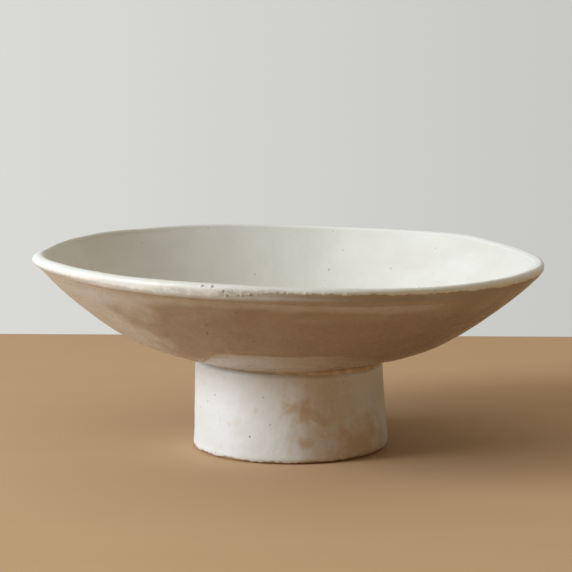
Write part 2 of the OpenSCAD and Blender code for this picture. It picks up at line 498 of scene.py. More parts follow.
# Pits strewn over a surface: their radii and depths. Then, below the bowl and inside it, their
# number, the distances from the axis between which they lie, and the seed of their places
STREWN_SIZES = (0.4, 0.75)
STREWN_DEPTHS = (0.12, 0.25)
OUTER_STREWN = (60, 50, 124, 62)
LINER_STREWN = (12, 10, 120, 63)

# Pinholes that the photograph shows on the lip, as direction, angle round the bead and radius
PINHOLES = ((-107.2, 135, 1.05), (-105.1, 135, 1.05), (-102.7, 103, 0.8), (-101.9, 72, 0.6))
PINHOLE_DEPTH = 0.6

# Crumbs and pits along the ragged end of the coat on the lip: directions that the photograph
# shows, ranges and numbers of the rest, their turn above the end, radii and depths, and the seed
CRUMBS = (-74.4, -77.8, -82.4, -93.3, -97.4, -99.5, -102.2)
CRUMB_RANGES = ((-104, -86, 7), (-65, 220, 28))
CRUMB_TURNS = (0, 14)
CRUMB_SIZES = (0.45, 0.75)
CRUMB_DEPTHS = [-0.3, 0.35]
LIP_SEED = 61


def scatter(section, count, low, high, seed):
    """Small pits strewn over a surface between two distances from its axis."""
    rng = np.random.default_rng(seed)
    return [(on_section(section, math.sqrt(rng.uniform(low ** 2, high ** 2)),
                        rng.uniform(0, 360)),
             rng.uniform(*STREWN_SIZES), rng.uniform(*STREWN_DEPTHS)) for _ in range(count)]


def lip_spots():
    """Pinholes on the lip, and crumbs and pits along the ragged end of the coat there."""
    rng = np.random.default_rng(LIP_SEED)
    spots = [(on_bead(phi, turn), size, PINHOLE_DEPTH) for phi, turn, size in PINHOLES]
    strewn = [phi for values in CRUMB_RANGES for phi in rng.uniform(*values)]
    for phi in (*CRUMBS, *strewn):
        end = float(liner_end(on_bead(phi, 0)[None], np.array([phi]))[0])
        turn = end + rng.uniform(*CRUMB_TURNS)
        spots.append((on_bead(phi, turn), rng.uniform(*CRUMB_SIZES), rng.choice(CRUMB_DEPTHS)))
    return spots


# Pits that the photograph shows below the bowl and inside it, as distance from the axis,
# direction and radius, and on the foot, as direction, height and radius. Then their depths
OUTER_PITS = ((103.8, -110.8, 0.9), (109.7, -110.0, 0.6), (118.7, -134.9, 0.6),
              (119.5, -101.0, 0.8))
LINER_PITS = ((102.0, 77.0, 1.0), (104.7, 57.0, 0.8), (97.5, 100.5, 0.8))
FOOT_PITS = ((-113.4, 13.2, 0.7), (-101.0, 20.0, 0.5), (-30.0, 31.0, 0.5), (40.0, 12.0, 0.6),
             (150.0, 25.0, 0.7))
OUTER_PIT_DEPTH = 0.3
LINER_PIT_DEPTH = 0.2
FOOT_PIT_DEPTH = 0.25
OUTER_FACE = outer_line(GLAZE_T, 90, FINE)
INNER_FACE = inner_line(GLAZE_T, 180, FINE)
OUTER_SPOTS = [(on_section(OUTER_FACE, r, phi), size, OUTER_PIT_DEPTH)
               for r, phi, size in OUTER_PITS] + scatter(OUTER_FACE, *OUTER_STREWN)
LINER_SPOTS = [(on_section(INNER_FACE, r, phi), size, LINER_PIT_DEPTH)
               for r, phi, size in LINER_PITS] + scatter(INNER_FACE, *LINER_STREWN)
LINER_SPOTS += lip_spots()
FOOT_SPOTS = [(on_foot_side(phi, z), size, FOOT_PIT_DEPTH) for phi, z, size in FOOT_PITS]


# Coat inside the bowl and over the lip

# Throwing rings: distance from one to the next, height, and the radii between which they show
RING_PITCH = 7.5
RING_HIGH = 0.03
RING_START_R = (14, 40)
RING_STOP_R = (112, 124)

# Where the coat is level with the bead inside, by the angle round the bead and by the radius
FLUSH_TURN = (225, 253)
FLUSH_R = (108, 122.8)

# On the lip it lies higher by an overlap, because the coat below runs on under it, and at its end
# it drops within a few degrees
COAT_OVERLAP = 0.15
OVERLAP_TURN = (120, 165)
END_TURN = (-5, 6)


def liner_relief(p):
    """Relief of the coat inside, which dives into the clay at its ragged end on the lip."""
    r, phi = polar(p)
    turn, bead = bead_turn(r, p[..., 2])
    rings = np.sin(2 * math.pi * r / RING_PITCH + np.radians(phi) + lumps(p, RING_LUMPS))
    rings = rings * smooth(r, *RING_START_R) * (1 - smooth(r, *RING_STOP_R))
    flush = np.where(bead, smooth(turn, *FLUSH_TURN), smooth(r, *FLUSH_R)) * (LIP_R - LIP_WALL_IN)
    lift = np.where(bead, 1 - smooth(turn, *OVERLAP_TURN), 0) * COAT_OVERLAP
    gone = np.where(bead, 1 - smooth(turn - liner_end(p, phi), *END_TURN), 0)
    fine = lumps(p, LINER_LUMPS) + craters(p, LINER_SPOTS)[0]
    return (clay_relief(p) + RING_HIGH * rings + fine + flush + lift
            - gone * (COAT_OVERLAP + GLAZE_T))


# Places on the lip, as direction and how far to each side they are full and then gone: where the
# coat climbs and thins to a ragged end, and where it has a smooth end and is thin by a share
RAGGED_SIDE = (-98.0, 5, 9)
THIN_SIDE = (-109.0, 6, 15)
THIN_SHARE = 0.55

# Turn above the coat's end up to which it is thin, and from which it no longer is: everywhere,
# what the ragged place adds and what the thin place adds. Then how thin it is everywhere
THIN_FULL = (2, 14, 25)
THIN_GONE = (30, 18, 40)
THIN_LEAST = 0.3


def thin_edge(p):
    """How thin the coat inside is near its end on the lip, from 0 to 1, thinnest where ragged."""
    r, phi = polar(p)
    turn, bead = bead_turn(r, p[..., 2])
    thin = near(phi, *THIN_SIDE)
    ragged = np.maximum(near(phi, *RAGGED_SIDE), THIN_SHARE * thin)
    above = turn - liner_end(p, phi) + lumps(p, THIN_LUMPS)
    full, gone = (a + b * ragged + c * thin for a, b, c in (THIN_FULL, THIN_GONE))
    return np.where(bead, (1 - smooth(above, full, gone)) * between(THIN_LEAST, 1, ragged), 0)


# Painted shade inside at the rear left, a greyer place where the left rim's shadow falls:
# direction and how far to each side it is full and then gone, and the radii from which it is seen
INSIDE_SHADE_SIDE = (108.0, 12, 52)
INSIDE_SHADE_R = (15, 60)


def painted_shade_inside(p):
    """Where shade is painted inside, greyer, from 0 to 1."""
    r, phi = polar(p)
    return (near(phi, *INSIDE_SHADE_SIDE, uneven=lumps(p, INSIDE_SHADE_SIDE_LUMPS))
            * smooth(r + lumps(p, INSIDE_SHADE_R_LUMPS), *INSIDE_SHADE_R))


# Painted light on the lip: a whiter coat on all sides but the front left, which brightens the
# faces that the key light leaves in shade. Directions round the rim, how much there is from 0 to
# 1, and the angles round the bead at which it starts and stops
PAINTED_LIGHT_SIDES = (-180, -150, -125, -95, -75, -60, 60, 180)
PAINTED_LIGHT_SHARES = (1, 0.7, 0, 0, 0.4, 1, 1, 1)
PAINTED_LIGHT_START = (80, 115)
PAINTED_LIGHT_STOP = (200, 250)


def painted_light_lip(p):
    """Where light is painted on the lip as a whiter coat, from 0 to 1."""
    r, phi = polar(p)
    turn, bead = bead_turn(r, p[..., 2])
    high = smooth(turn, *PAINTED_LIGHT_START) * (1 - smooth(turn, *PAINTED_LIGHT_STOP))
    return np.where(bead, high * np.interp(phi, PAINTED_LIGHT_SIDES, PAINTED_LIGHT_SHARES), 0)


# Coat below the bowl

# Thicker coat round the joint at the front left: height, and direction and how far to each side
# it is full and then gone. It ends in a crisp line at a radius, which falls towards the left. The
# same place is painted paler, as a painted reflection of the lit foot
COLLAR = 0.35
COLLAR_SIDE = (-103.0, 24, 40)
COLLAR_R = 88.0
COLLAR_FALL = 24.0
COLLAR_FALL_SIDE = (5, 30)
COLLAR_EDGE = (-1.2, 0.8)


def collar(r, phi):
    """Where the thicker coat round the joint is, from 0 to 1, also painted paler as a reflection
    of the lit foot.
    """
    edge = COLLAR_R - COLLAR_FALL * smooth(COLLAR_SIDE[0] - phi, *COLLAR_FALL_SIDE)
    return (1 - smooth(r - edge, *COLLAR_EDGE)) * near(phi, *COLLAR_SIDE)


# The corner below the lip is filled with coat by up to a depth: angles round the bead, radii
LIP_FILL = 0.6
FILL_TURN = (44, 78)
FILL_R = (110, 124)

# Its middle, as r and z, is filled further: depth, and how far to each side
NECK = WALL_C + (WALL_R + GLAZE_T) * square_to(
    LIP_SLOPE - cosine_law(WALL_R + GLAZE_T, BEAD_REACH, LIP_R + GLAZE_T))
NECK_FILL = 0.8
NECK_REACH = 2.6

# Direction in which the corner is left free. The fills start and stop at angles from there, and
# in one more direction the middle is filled by a share
FREE_AT = -155.0
FILL_START = (20, 60)
NECK_START = (30, 70)
FILL_STOP = (95, 130)
NECK_SIDE = (-130.0, 15, 40)
NECK_SHARE = 0.5

# The bead is less uneven than the wall by a share, and the coat sinks under the coat inside from
# an angle above its end. Its broad lumps start at the joint
BEAD_CALM = 0.5
OUTER_SINK = 0.2
SINK_TURN = (0, 20)
BROAD_R = (44, 52)


def outer_relief(p):
    """Relief of the coat below the bowl, which fills the corner under the lip in places."""
    r, phi = polar(p)
    turn, bead = bead_turn(r, p[..., 2])
    away = turned_from(phi, FREE_AT)
    filled = 1 - smooth(away, *FILL_STOP)
    fill = np.where(bead, 1 - smooth(turn, *FILL_TURN), smooth(r, *FILL_R)) * LIP_FILL
    fill = fill * smooth(away, *FILL_START) * filled
    at_neck = np.exp(-(np.hypot(r - NECK[0], p[..., 2] - NECK[1]) / NECK_REACH) ** 2)
    neck = NECK_FILL * at_neck * np.maximum(smooth(away, *NECK_START) * filled,
                                            NECK_SHARE * near(phi, *NECK_SIDE))
    fine = lumps(p, OUTER_LUMPS) * np.where(bead, BEAD_CALM, 1) + craters(p, OUTER_SPOTS)[0]
    sink = np.where(bead, smooth(turn - liner_end(p, phi), *SINK_TURN), 0) * OUTER_SINK
    broad = lumps(p, OUTER_BROAD_LUMPS) * smooth(r, *BROAD_R) + COLLAR * collar(r, phi)
    return clay_relief(p) + broad + fine + fill + neck - sink


# Directions in which the coat below the bowl is paler, how far to each side, and the shares of
# that at which it starts to fade and is gone. Then how pale the collar round the joint is, a
# painted reflection
PALE_PATCHES = ((-162, 38), (30, 34), (98, 25))
PALE_FADE = (0.45, 1.1)
COLLAR_PAINTED_REFLECTION = 0.45

# Paler band below the lip: its middle, and the angles to the left of that over which it changes.
# Then for the front and for the left: the radii at which it starts and is full, how far to each
# side it is full and then gone, how pale it is, and the share of that on the bead
BAND_AT = -85.0
BAND_CHANGE = (20, 65)
BAND_FRONT = (120, 124, 24, 40, 0.5, 0.4)
BAND_LEFT = (106, 120, 74, 90, 0.9, 1.0)


def pale_coat_and_reflection(p):
    """How pale the coat below the bowl is, from 0 to 1: in patches, in a band below the lip, and
    round the joint as a painted reflection of the lit foot.
    """
    r, phi = polar(p)
    nearest = np.minimum.reduce([turned_from(phi, at) / half for at, half in PALE_PATCHES])
    patch = 1 - smooth(nearest + lumps(p, PALE_LUMPS), *PALE_FADE)
    left = smooth(BAND_AT - phi, *BAND_CHANGE) * (phi < 0)
    start, whole, full, gone, share, on_lip = (
        between(a, b, left) for a, b in zip(BAND_FRONT, BAND_LEFT))
    band = smooth(r + lumps(p, BAND_LUMPS), start, whole) * near(phi, BAND_AT, full, gone) * share
    band = band * np.where(bead_turn(r, p[..., 2])[1], on_lip, 1)
    return np.maximum.reduce([patch, band, COLLAR_PAINTED_REFLECTION * collar(r, phi)])


# Painted shade below the bowl at the front right, a browner place on the side that the key light
# misses: direction and how far to each side it is full and then gone, and the radii at which it
# starts and stops
PAINTED_SHADE_SIDE = (-48.0, 22, 58)
PAINTED_SHADE_START_R = (66, 86)
PAINTED_SHADE_STOP_R = (112, 120)


def painted_shade_front_right(p):
    """Where shade is painted below the bowl at the front right, browner, from 0 to 1."""
    r, phi = polar(p)
    r = r + lumps(p, PAINTED_SHADE_LUMPS)
    ring = smooth(r, *PAINTED_SHADE_START_R) * (1 - smooth(r, *PAINTED_SHADE_STOP_R))
    return ring * near(phi, *PAINTED_SHADE_SIDE)


# Foot

# Skew of the wall on the right and on the left, at the top and at the base, the shares of the
# radius over which it sets in, how far below the top it starts to change, and the heights over
# which the relief fades out at the base
SKEW_RIGHT = (-0.6, 0.7)
SKEW_LEFT = (0.25, -0.35)
SKEW_FROM = (0.3, 1.0)
SKEW_TOP = 5
BASE_FADE = (0.2, 5)

# The coat ends at a height above the base, within a few tenths of a millimetre. Below that it
# lies deeper than the clay's face, and so does its hidden side
FOOT_COAT_END = 1.0
FOOT_COAT_FADE = (-0.4, 0.5)
FOOT_COAT_DIVE = 0.25
FOOT_COAT_SINK = 0.45


def foot_body(p):
    """Unevenness of the foot's clay, which leans out a little more on the right than the left."""
    side = p[..., 0] / FOOT_BASE_R
    low = smooth(FOOT_H - p[..., 2], SKEW_TOP, FOOT_H)
    skew = (smooth(side, *SKEW_FROM) * between(*SKEW_RIGHT, low)
            + smooth(-side, *SKEW_FROM) * between(*SKEW_LEFT, low))
    return (body_relief(p) + skew) * smooth(p[..., 2], *BASE_FADE)


def foot_relief(p):
    """Relief of the foot's coat, which dives into the clay at a ragged line above the base."""
    end = FOOT_COAT_END + lumps(p * [1, 1, 0], FOOT_END_LUMPS)
    there = smooth(p[..., 2] - end, *FOOT_COAT_FADE)
    coat = foot_body(p) + lumps(p, FOOT_LUMPS) + craters(p, FOOT_SPOTS)[0]
    return coat - (1 - there) * (GLAZE_T + FOOT_COAT_DIVE)


# Thin places of the coat on the foot, and two broad ones on its right, at -71 and -46 degrees,
# that are
# painted shade: direction in degrees, height, half width, half height, fall to the right and
# thinness.
# Then the shares of their size at which they start to fade and end
FOOT_BLOTCHES_AND_SHADE = ((-71, 20.0, 18.0, 60.0, 0.0, 0.45), (-78, 26.0, 13.0, 9.0, 0.4, 1.0),
            (-79, 10.5, 7.0, 5.5, 0.0, 0.8), (-46, 7.0, 26.0, 17.0, 0.0, 0.85),
            (75, 28.0, 16.0, 9.0, -0.3, 0.9), (160, 16.0, 12.0, 9.0, 0.4, 0.8))
BLOTCH_FADE = (0.1, 1.3)


def blotches_and_shade(p):
    """How thin the coat on the foot is, from 0 to 1, with painted shade on its right. Where it is
    1 the clay shows through.
    """
    phi = polar(p)[1]
    thin = np.zeros(p.shape[:-1])
    for at, z, wide, high, tilt, most in FOOT_BLOTCHES_AND_SHADE:
        across = np.radians((phi - at + 180) % 360 - 180) * FOOT_TOP_R
        up = p[..., 2] - z + tilt * across
        d = np.hypot(across / wide, up / high) + lumps(p, BLOTCH_LUMPS)
        thin = np.maximum(thin, most * (1 - smooth(d, *BLOTCH_FADE)))
    return thin


# Slip: how far it stands out from the bottom of the model's groove, how much further it fills
# the groove everywhere but in one direction, the radii over which that sets in, and how far it
# reaches into the clay
SLIP_OUT = 1.0
SLIP_FULL = 1.0
SLIP_DEEP_AT = -125.0
SLIP_DEEP_SIDES = (20, 60)
SLIP_FACE_R = (42, 45)
SLIP_SINK = 0.3
SLIP_IN_R = HOLLOW_TOP_R - SLIP_BEAD


def slip_relief(p):
    """Relief of the slip, which fills the groove less at the front left."""
    r, phi = polar(p)
    full = smooth(turned_from(phi, SLIP_DEEP_AT), *SLIP_DEEP_SIDES) * smooth(r, *SLIP_FACE_R)
    return lumps(p, SLIP_LUMPS) + SLIP_FULL * full


# Materials

# Share of a speck's radius from which it fades
SPECK_EDGE = 0.55


class Nodes:
    """Short calls for the nodes of one tree."""

    def __init__(self, tree, place):
        self.tree = tree
        self.place = self.add("ShaderNodeTexCoord").outputs[place]

    def add(self, kind, **values):
        """New node of a kind, with its settings."""
        node = self.tree.nodes.new(kind)
        for key, value in values.items():
            setattr(node, key, value)
        return node

    def put(self, value, socket):
        """Links an output to a socket, or sets the socket to a number or a colour."""
        if isinstance(value, bpy.types.NodeSocket):
            self.tree.links.new(value, socket)
        elif isinstance(value, tuple) and socket.type == "RGBA":
            socket.default_value = (*value, 1.0)
        else:
            socket.default_value = value

    def ramp(self, value, low, high, start=0.0, end=1.0, kind="SMOOTHSTEP"):
        """Maps low to high of a value onto start to end."""
        node = self.add("ShaderNodeMapRange", interpolation_type=kind)
        for key, number in (("From Min", low), ("From Max", high), ("To Min", start),
                            ("To Max", end), ("Value", value)):
            self.put(number, node.inputs[key])
        return node.outputs["Result"]

    def math(self, operation, a, b):
        """Result of an operation on two numbers or outputs."""
        node = self.add("ShaderNodeMath", operation=operation)
        self.put(a, node.inputs[0])
        self.put(b, node.inputs[1])
        return node.outputs["Value"]

    def vector(self, operation, a, b):
        """Sum of two vectors, or a vector scaled by a number."""
        node = self.add("ShaderNodeVectorMath", operation=operation)
        self.put(a, node.inputs[0])
        self.put(b, node.inputs["Scale"] if operation == "SCALE" else node.inputs[1])
        return node.outputs["Vector"]

    def mix(self, share, a, b):
        """Colour a, or b where share is 1."""
        node = self.add("ShaderNodeMix", data_type="RGBA")
        sockets = {s.identifier: s for s in node.inputs}
        for key, value in (("Factor_Float", share), ("A_Color", a), ("B_Color", b)):
            self.put(value, sockets[key])
        return next(s for s in node.outputs if s.identifier == "Result_Color")


class Paint(Nodes):
    """Short calls for one material."""

    def __init__(self, name):
        self.material = bpy.data.materials.new(name)
        self.material.use_nodes = True
        super().__init__(self.material.node_tree, "Object")
        self.shader = self.tree.nodes["Principled BSDF"]

    def noise(self, size_mm, detail, rough=0.5, stretch=(1, 1, 1)):
        """Noise from 0 to 1 with lumps of a size in millimetres."""
        shape = self.add("ShaderNodeMapping")
        self.put(self.place, shape.inputs["Vector"])
        self.put(stretch, shape.inputs["Scale"])
        node = self.add("ShaderNodeTexNoise")
        for key, value in (("Vector", shape.outputs["Vector"]), ("Scale", 1 / (size_mm * MM)),
                           ("Detail", detail), ("Roughness", rough)):
            self.put(value, node.inputs[key])
        return node.outputs["Fac"]

    def specks(self, cell_mm, share, size):
        """1 in small round specks, which only a share of the cells holds."""
        node = self.add("ShaderNodeTexVoronoi")
        self.put(self.place, node.inputs["Vector"])
        self.put(1 / (cell_mm * MM), node.inputs["Scale"])
        dot = self.ramp(node.outputs["Distance"], size * SPECK_EDGE, size, 1.0, 0.0)
        parts = self.add("ShaderNodeSeparateColor")
        self.put(node.outputs["Color"], parts.inputs["Color"])
        chosen = self.math("LESS_THAN", parts.outputs["Red"], share)
        return self.math("MULTIPLY", dot, chosen)

    def mark(self, name):
        """Values that are stored on the mesh under a name."""
        return self.add("ShaderNodeAttribute", attribute_name=name).outputs["Fac"]

    def over(self, base, mask, share, colour):
        """Base colour with another over it where a mask is 1, up to a share."""
        return self.mix(self.math("MULTIPLY", mask, share), base, colour)

    def finish(self, colour, rough, low, high, bump=None, height_mm=0.0):
        """Sets the colour, the roughness between low and high, and the bump."""
        self.put(colour, self.shader.inputs["Base Color"])
        self.put(self.ramp(rough, 0.0, 1.0, low, high, "LINEAR"), self.shader.inputs["Roughness"])
        if bump is not None:
            node = self.add("ShaderNodeBump")
            self.put(height_mm * MM, node.inputs["Distance"])
            self.put(bump, node.inputs["Height"])
            self.put(node.outputs["Normal"], self.shader.inputs["Normal"])
        return self.material


# Colours of the coats: clouds from one tone to another, and what lies over them
LINER_TONES = ((0.80, 0.785, 0.735), (0.86, 0.85, 0.81))
LINER_THIN = (0.70, 0.64, 0.54)
# Painted shade inside the bowl at the rear left
LINER_PAINTED_SHADE = (0.60, 0.60, 0.56)
# Painted light on the lip
LINER_PAINTED_LIGHT = (0.93, 0.94, 0.93)
LINER_SPECK = (0.42, 0.33, 0.24)
LINER_EDGE = (0.42, 0.41, 0.33)
# Pinholes: bare clay with painted shade
LINER_PIT_CLAY_AND_SHADE = (0.30, 0.22, 0.15)
# Below the bowl the tones are brown partly as thin coat over the clay and partly as painted shade,
# standing in for the floor's warm bounce under the bowl
OUTER_TONES_AND_SHADE = ((0.41, 0.32, 0.245), (0.47, 0.39, 0.315))
OUTER_MOTTLE = (0.40, 0.36, 0.28)
# Painted shade at the front right below the bowl
OUTER_PAINTED_SHADE = (0.34, 0.25, 0.195)
# Paler coat, which round the joint is a painted reflection of the lit foot
OUTER_PALE = (0.66, 0.64, 0.60)
OUTER_STREAK = (0.62, 0.55, 0.46)
OUTER_THIN = (0.42, 0.31, 0.20)
OUTER_SPECK = (0.36, 0.26, 0.17)
# Pinholes: bare clay with painted shade
OUTER_PIT_CLAY_AND_SHADE = (0.20, 0.13, 0.08)
FOOT_TONES = ((0.79, 0.795, 0.775), (0.84, 0.855, 0.86))
FOOT_THIN = (0.63, 0.50, 0.35)
FOOT_SPECK = (0.38, 0.28, 0.19)
# Pinholes: bare clay with painted shade
FOOT_PIT_CLAY_AND_SHADE = (0.22, 0.15, 0.10)
# Bare clay where the foot's coat is thin, and painted shade on the foot's right
FOOT_BARE_AND_SHADE = (0.60, 0.41, 0.22)

# Colours of the bare clay with its dark and pale grains, and of the slip
CLAY_TONES = ((0.50, 0.36, 0.23), (0.58, 0.43, 0.28))
DARK_GRAIN = (0.28, 0.19, 0.12)
PALE_GRAIN = (0.72, 0.62, 0.48)
SLIP_TONES = ((0.60, 0.46, 0.32), (0.76, 0.62, 0.46))


# In the materials noise and specks take sizes in millimetres, and a ramp takes the span of a value
# that it spreads. Each layer has a mask, how much it covers where the mask is 1, and its colour

def liner_material():
    """Off-white satin coat inside and on the lip, with thin places, specks, dark pinholes, painted
    shade inside and painted light on the lip.
    """
    m = Paint("liner_glaze")
    base = m.mix(m.ramp(m.noise(26, 4), 0.35, 0.7), *LINER_TONES)
    base = m.over(base, m.ramp(m.noise(9, 5, 0.6), 0.62, 0.80), 0.35, LINER_THIN)
    # Painted shade inside at the rear left
    base = m.over(base, m.mark("inside_shade"), 0.5, LINER_PAINTED_SHADE)
    # Painted light on the lip
    base = m.mix(m.mark("white"), base, LINER_PAINTED_LIGHT)
    base = m.over(base, m.specks(5.0, 0.10, 0.16), 0.4, LINER_SPECK)
    mottle = m.math("ADD", 0.6, m.ramp(m.noise(2.4, 4), 0.35, 0.6))
    base = m.over(base, m.mark("thin"), m.math("MULTIPLY", mottle, 0.52), LINER_EDGE)
    # Pinholes: bare clay with painted shade
    base = m.over(base, m.mark("pit"), 0.6, LINER_PIT_CLAY_AND_SHADE)
    return m.finish(base, m.noise(3.0, 4), 0.34, 0.55, m.noise(1.1, 5, 0.6), 0.05)


def outer_material():
    """Coat below the bowl, brown from thin coat over the clay and from painted shade, paler in
    places.
    """
    m = Paint("outer_glaze")
    # Brown tones: thin coat over the clay, and painted shade
    base = m.mix(m.ramp(m.noise(32, 5, 0.55), 0.36, 0.68), *OUTER_TONES_AND_SHADE)
    base = m.over(base, m.ramp(m.noise(6.5, 5, 0.65), 0.45, 0.62), 0.35, OUTER_MOTTLE)
    # Painted shade at the front right below the bowl
    base = m.over(base, m.mark("painted_shade"), 0.55, OUTER_PAINTED_SHADE)
    # Paler places, and round the joint a painted reflection of the lit foot
    pale_and_reflection = m.math("ADD", m.mark("pale_and_reflection"), m.math("MULTIPLY", m.noise(9, 5, 0.6), 0.5))
    base = m.mix(m.ramp(pale_and_reflection, 0.2, 1.2), base, OUTER_PALE)
    streak = m.ramp(m.noise(7, 4, 0.6, (0.35, 0.35, 1.6)), 0.55, 0.75)
    base = m.over(base, streak, 0.18, OUTER_STREAK)
    base = m.over(base, m.ramp(m.noise(6, 5, 0.65), 0.62, 0.78), 0.5, OUTER_THIN)
    base = m.over(base, m.specks(4.5, 0.14, 0.16), 0.6, OUTER_SPECK)
    # Pinholes: bare clay with painted shade
    base = m.mix(m.mark("pit"), base, OUTER_PIT_CLAY_AND_SHADE)
    return m.finish(base, m.noise(4.0, 4), 0.20, 0.32, m.noise(1.3, 5, 0.6), 0.04)


def foot_material():
    """White coat of the foot, through which the clay shows where it is thin, with painted shade on
    its right.
    """
    m = Paint("foot_glaze")
    base = m.mix(m.ramp(m.noise(22, 4), 0.35, 0.7), *FOOT_TONES)
    base = m.over(base, m.ramp(m.noise(8, 5, 0.62), 0.60, 0.76), 0.45, FOOT_THIN)
    base = m.over(base, m.specks(4.0, 0.12, 0.16), 0.6, FOOT_SPECK)
    # Pinholes: bare clay with painted shade
    base = m.mix(m.mark("pit"), base, FOOT_PIT_CLAY_AND_SHADE)
    # Bare clay where the coat is thin, and painted shade on the foot's right
    base = m.over(base, m.mark("thin"), 0.9, FOOT_BARE_AND_SHADE)
    return m.finish(base, m.noise(3.5, 4), 0.38, 0.58, m.noise(1.2, 5, 0.6), 0.06)


def clay_material():
    """Bare fired stoneware with dark and pale grains."""
    m = Paint("clay")
    base = m.mix(m.ramp(m.noise(12, 5), 0.35, 0.7), *CLAY_TONES)
    base = m.over(base, m.specks(1.6, 0.25, 0.3), 0.6, DARK_GRAIN)
    base = m.over(base, m.specks(2.1, 0.15, 0.3), 0.5, PALE_GRAIN)
    return m.finish(base, m.noise(2.0, 4), 0.78, 0.95, m.noise(0.7, 6, 0.7), 0.12)


def slip_material():
    """Bare slip in the joint, paler than the clay."""
    m = Paint("slip")
    base = m.mix(m.ramp(m.noise(5, 5), 0.35, 0.7), *SLIP_TONES)
    return m.finish(base, m.noise(2.0, 4), 0.7, 0.9, m.noise(0.8, 6, 0.7), 0.12)


PAINTS = {"liner_glaze": liner_material(), "outer_glaze": outer_material(),
          "foot_glaze": foot_material(), "clay": clay_material(), "slip": slip_material()}


# Bowl: the clay, the coat inside and the coat below

# Radius at which the section of the clay starts. A pole closes it in the foot's hollow
SEAT_START_R = 40.0

# Angles round the bead from which the coat inside goes up and at which the coat below stops, so
# that they overlap on the lip, and how deep the hidden sides of both lie in the clay
LINER_START = 32.0
OUTER_STOP = 140.0
COAT_SINK = 0.1


def sunk(p):
    """Relief of a coat's hidden side, whose normals point into the clay."""
    return COAT_SINK - clay_relief(p)


def make_bowl():
    """The bowl's clay, which the coats hide, so its points lie wide apart."""
    section = (line([SEAT_START_R, SEAT_Z], [SEAT_R, SEAT_Z], PLAIN)
               + outer_line(0, 180, PLAIN) + inner_line(0, 180, PLAIN)[1:])
    rows = surface(section, clay_relief, ROUND_PLAIN, settle)[0]
    build("bowl_clay", rows, "bowl", "clay", poles=True)


def make_liner():
    """The coat inside, whose hidden side comes first because both sides end in the middle."""
    masks = {"thin": thin_edge, "inside_shade": painted_shade_inside, "white": painted_light_lip,
             "pit": lambda p: craters(p, LINER_SPOTS)[1]}
    top, values = surface(inner_line(GLAZE_T, LINER_START, FINE), liner_relief, ROUND, settle,
                          masks)
    under = surface(inner_line(0, LINER_START, PLAIN)[::-1], sunk, ROUND, settle)[0]
    hidden = np.zeros(under.shape[:2])
    marks = {key: np.vstack([hidden, shown]) for key, shown in values.items()}
    build("liner_coat", np.concatenate([under, top]), "liner_glaze", "liner_glaze", poles=True,
          marks=marks)


def make_outer():
    """The coat below the bowl, a closed ring from the joint to the lip."""
    masks = {"pale_and_reflection": pale_coat_and_reflection, "painted_shade": painted_shade_front_right, "pit": lambda p: craters(p, OUTER_SPOTS)[1]}
    top, marks = surface(outer_line(GLAZE_T, OUTER_STOP, FINE), outer_relief, ROUND, settle,
                         masks)
    under = surface(outer_line(0, OUTER_STOP, PLAIN)[::-1], sunk, ROUND, settle)[0]
    build("outer_coat", np.concatenate([top, under]), "outer_glaze", "outer_glaze", marks=marks)


# Foot: its clay, its coat, the slip in the groove and the coil in the hollow

def make_foot():
    """The foot's clay, with the hollow that is open below."""
    section = foot_side(0, FOOT_CLAY_STEP) + hollow_side(HOLLOW_STEP)
    build("foot_clay", surface(section, foot_body, ROUND_FOOT, on_foot)[0], "pedestal_foot",
          "clay")


def make_foot_coat():
    """The coat on the foot's side and shoulder."""
    # Thin places of the foot's coat, and painted shade on its right
    masks = {"thin": blotches_and_shade, "pit": lambda p: craters(p, FOOT_SPOTS)[1]}
    top, marks = surface(foot_side(GLAZE_T, FOOT_COAT_STEP), foot_relief, ROUND_FOOT, on_foot,
                         masks)
    under = surface(foot_side(0, PLAIN)[::-1], lambda p: FOOT_COAT_SINK - foot_body(p),
                    ROUND_FOOT, on_foot)[0]
    build("foot_coat", np.concatenate([top, under]), "foot_glaze", "foot_glaze", marks=marks)


def make_slip():
    """The ring of slip between foot and bowl."""
    middle = np.array([SLIP_R + SLIP_OUT, -SLIP_T / 2])
    section = ([np.array([SLIP_IN_R, SLIP_SINK]), np.array([SLIP_IN_R, -SLIP_T - SLIP_SINK])]
               + arc(middle, SLIP_T / 2 + SLIP_SINK, 0, 180, SLIP_STEP))
    build("slip_ring", surface(section, slip_relief, ROUND_FOOT, at_joint)[0], "joint_slip",
          "slip")


# How far the coil reaches into the bowl, the slip and the foot's wall
COIL_SINK = 0.3
COIL_SLIP_SINK = 0.4
COIL_WALL_SINK = 0.5


def make_coil():
    """The coil in the corner under the bowl, inside the foot."""
    inner, cove = HOLLOW_TOP_R - COIL_LEG, COIL_LEG - COIL_EDGE
    corner = [SLIP_IN_R + COIL_SLIP_SINK, COIL_SINK]
    low = [HOLLOW_TOP_R + COIL_WALL_SINK, -COIL_LEG]
    section = (line([inner, COIL_SINK], corner, COIL_STEP) + line(corner, low, COIL_STEP)
               + line(low, [inner + cove, -COIL_LEG], COIL_LOW_STEP)
               + arc(np.array([inner, -COIL_LEG]), cove, 90, 180, BEAD_STEP))[::-1]
    rows = surface(section, lambda p: lumps(p, COIL_LUMPS), ROUND_COIL, at_joint)[0]
    build("coil", rows, "luting_coil", "clay")


make_bowl()
make_liner()
make_outer()
make_foot()
make_foot_coat()
make_slip()
make_coil()


# Stage, light and camera

# Floor in metres: half its width, its near edge, and its far edge where the photograph's table
# ends, which is skewed. Then its colour, how dark its darker places are, and its shine
FLOOR_HALF = 1.5
FLOOR_NEAR = -0.9
TABLE_END = 0.345
TABLE_SKEW = 0.018
FLOOR = (0.62, 0.41, 0.235)
FLOOR_DARK = 0.97
FLOOR_SHINE = 0.28

